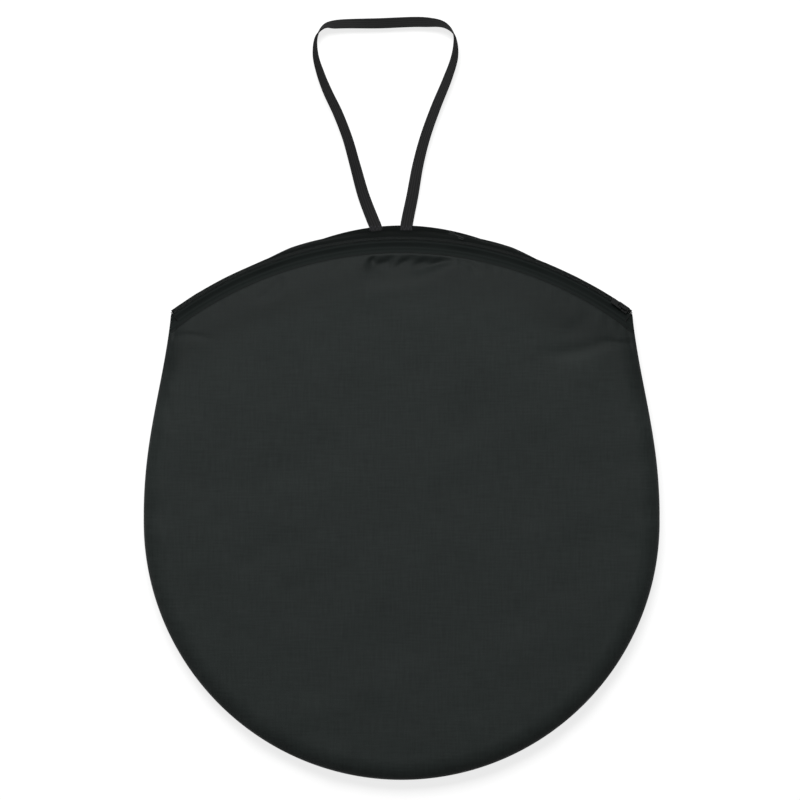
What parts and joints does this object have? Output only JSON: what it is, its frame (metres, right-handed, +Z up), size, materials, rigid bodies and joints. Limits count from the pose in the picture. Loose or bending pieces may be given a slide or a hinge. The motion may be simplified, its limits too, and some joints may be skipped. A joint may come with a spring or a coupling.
{
  "type": "collapsible backdrop panel",
  "caption": "Twist-fold collapsible backdrop panel, folded flat inside its round zipped nylon carry bag with a webbing loop.",
  "frame": {"origin": "under the middle of the round body of the bag, on the flat outer face of its back panel", "axes": "+Z up out of the front panel, +Y towards the carry strap, +X to the right seen from the front"},
  "size_m": [0.645, 0.9556, 0.0343],
  "materials": {
    "nylon": "plain-woven black nylon with a slight sheen",
    "binding": "black polyester binding tape",
    "webbing": "black ribbed flat webbing",
    "zip_tape": "black knitted zip tape",
    "zip_coil": "black nylon coil",
    "thread": "black polyester thread in bar tacks",
    "zip_slider": "black painted zinc",
    "hoop_steel": "spring steel",
    "sleeve": "black woven tape folded round the hoop",
    "front_cloth": "matte black cotton",
    "reverse_cloth": "matte white cotton"
  },
  "bodies": {
    "bag": {"bag_back_panel": "nylon", "bag_front_panel": "nylon", "seam_binding": "binding", "back_zip_tape": "zip_tape", "back_zip_coil": "zip_coil", "front_tape_end_left": "zip_tape", "front_tape_end_right": "zip_tape", "front_coil_end_left": "zip_coil", "front_coil_end_right": "zip_coil", "zip_end_tack_left": "thread", "zip_end_tack_right": "thread", "strap_end_left": "webbing", "strap_end_right": "webbing", "strap_tack_left": "thread", "strap_tack_right": "thread"},
    "mouth_flap": {"mouth_flap_panel": "nylon", "front_zip_tape": "zip_tape", "front_zip_coil": "zip_coil"},
    "pack": {"spring_hoop": "hoop_steel", "hoop_ferrule": "hoop_steel", "hoop_sleeve": "sleeve", "panel_front_sheet": "front_cloth", "panel_reverse_sheet": "reverse_cloth"},
    "slider": {"slider_body": "zip_slider", "slider_bail": "zip_slider"},
    "pull": {"pull_tab": "zip_slider"},
    "strap": {"carry_strap": "webbing"}
  },
  "joints": [
    {"name": "pack_slide", "type": "slide", "parent": "bag", "child": "pack", "axis": [0, 1, 0], "range_m": [0, 0.045]},
    {"name": "mouth_hinge", "type": "hinge", "parent": "bag", "child": "mouth_flap", "pos_m": [0, 0.262, 0.0343], "axis": [1, 0, 0], "range_deg": [0, 60.1]},
    {"name": "slider_travel", "type": "hinge", "parent": "bag", "child": "slider", "pos_m": [0, -0.133, 0.017], "axis": [0, 0, 1], "range_deg": [0, 68.8]},
    {"name": "pull_swing", "type": "hinge", "parent": "slider", "child": "pull", "pos_m": [0.27456, 0.26922, 0.0214], "axis": [0.5678, 0.8231, 0], "range_deg": [0, 120]},
    {"name": "strap_swing", "type": "hinge", "parent": "bag", "child": "strap", "pos_m": [0, 0.371, 0.0032], "axis": [1, 0, 0], "range_deg": [0, 100]}
  ],
  "couplings": [
    {"joint": "mouth_hinge", "follows": "pack_slide", "rad_per_m": 23.27}
  ]
}
